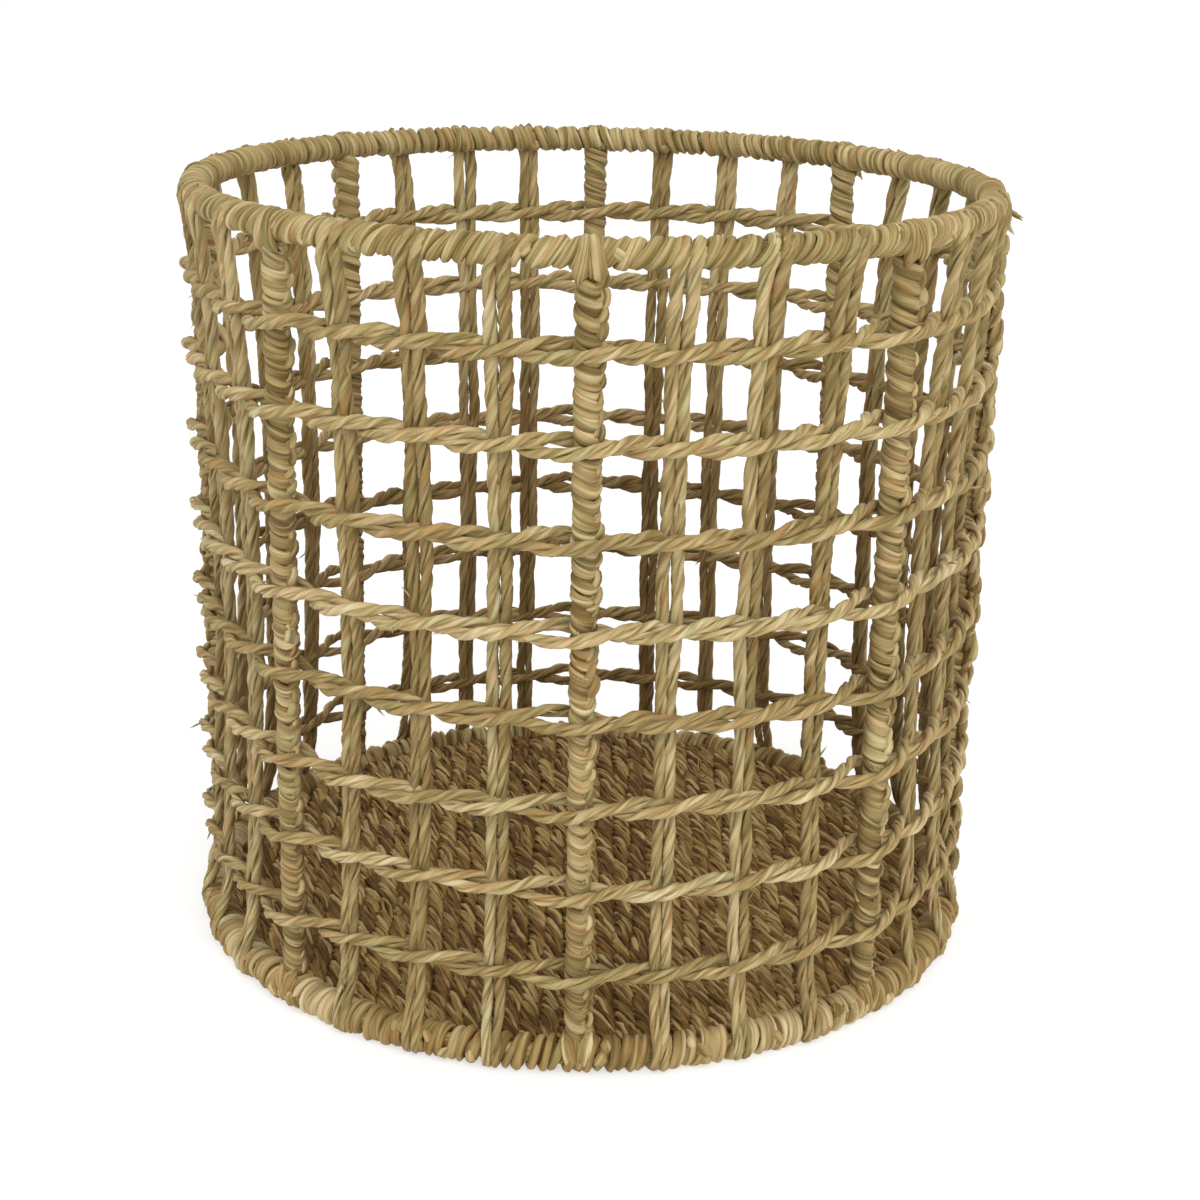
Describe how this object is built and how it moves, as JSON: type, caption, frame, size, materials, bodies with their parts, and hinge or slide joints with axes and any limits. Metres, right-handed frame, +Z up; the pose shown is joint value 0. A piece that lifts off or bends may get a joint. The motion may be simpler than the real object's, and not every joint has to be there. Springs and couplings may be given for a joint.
{
  "type": "storage basket",
  "caption": "Round open-weave seagrass storage basket on a wire frame, with twined rows, doubled upright cords and a woven base.",
  "frame": {"origin": "middle of the base on the floor", "axes": "+Z up through the open rim, -Y towards the front, +X to the right seen from the front"},
  "size_m": [0.3628, 0.363, 0.3378],
  "materials": {
    "frame_wire": "plain steel wire, dull",
    "binding_grass": "dry seagrass wound tight, matt with a slight sheen",
    "rib_grass": "dry seagrass wound tight, matt with a slight sheen",
    "upright_grass": "two-ply seagrass cord, matt, fibrous",
    "row_grass": "two-ply seagrass cord, matt, fibrous",
    "mat_grass": "packed rows of seagrass cord, matt, darker"
  },
  "bodies": {
    "root": {"rim_wire": "frame_wire", "base_wire": "frame_wire", "rib_wire_front": "frame_wire", "rib_wire_front_right": "frame_wire", "rib_wire_right": "frame_wire", "rib_wire_back_right": "frame_wire", "rib_wire_back": "frame_wire", "rib_wire_back_left": "frame_wire", "rib_wire_left": "frame_wire", "rib_wire_front_left": "frame_wire", "cross_wire_1": "frame_wire", "cross_wire_2": "frame_wire", "cross_wire_3": "frame_wire", "cross_wire_4": "frame_wire", "cross_wire_5": "frame_wire", "rim_binding": "binding_grass", "base_binding": "binding_grass", "rib_binding_front": "rib_grass", "rib_binding_front_right": "rib_grass", "rib_binding_right": "rib_grass", "rib_binding_back_right": "rib_grass", "rib_binding_back": "rib_grass", "rib_binding_back_left": "rib_grass", "rib_binding_left": "rib_grass", "rib_binding_front_left": "rib_grass", "upright_cord_01": "upright_grass", "upright_cord_02": "upright_grass", "upright_cord_03": "upright_grass", "upright_cord_04": "upright_grass", "upright_cord_05": "upright_grass", "upright_cord_06": "upright_grass", "upright_cord_07": "upright_grass", "upright_cord_08": "upright_grass", "upright_cord_09": "upright_grass", "upright_cord_10": "upright_grass", "upright_cord_11": "upright_grass", "upright_cord_12": "upright_grass", "upright_cord_13": "upright_grass", "upright_cord_14": "upright_grass", "upright_cord_15": "upright_grass", "upright_cord_16": "upright_grass", "upright_cord_17": "upright_grass", "upright_cord_18": "upright_grass", "upright_cord_19": "upright_grass", "upright_cord_20": "upright_grass", "upright_cord_21": "upright_grass", "upright_cord_22": "upright_grass", "upright_cord_23": "upright_grass", "upright_cord_24": "upright_grass", "twined_row_1": "row_grass", "twined_row_2": "row_grass", "twined_row_3": "row_grass", "twined_row_4": "row_grass", "twined_row_5": "row_grass", "twined_row_6": "row_grass", "twined_row_7": "row_grass", "twined_row_8": "row_grass", "base_mat": "mat_grass"}
  },
  "joints": []
}
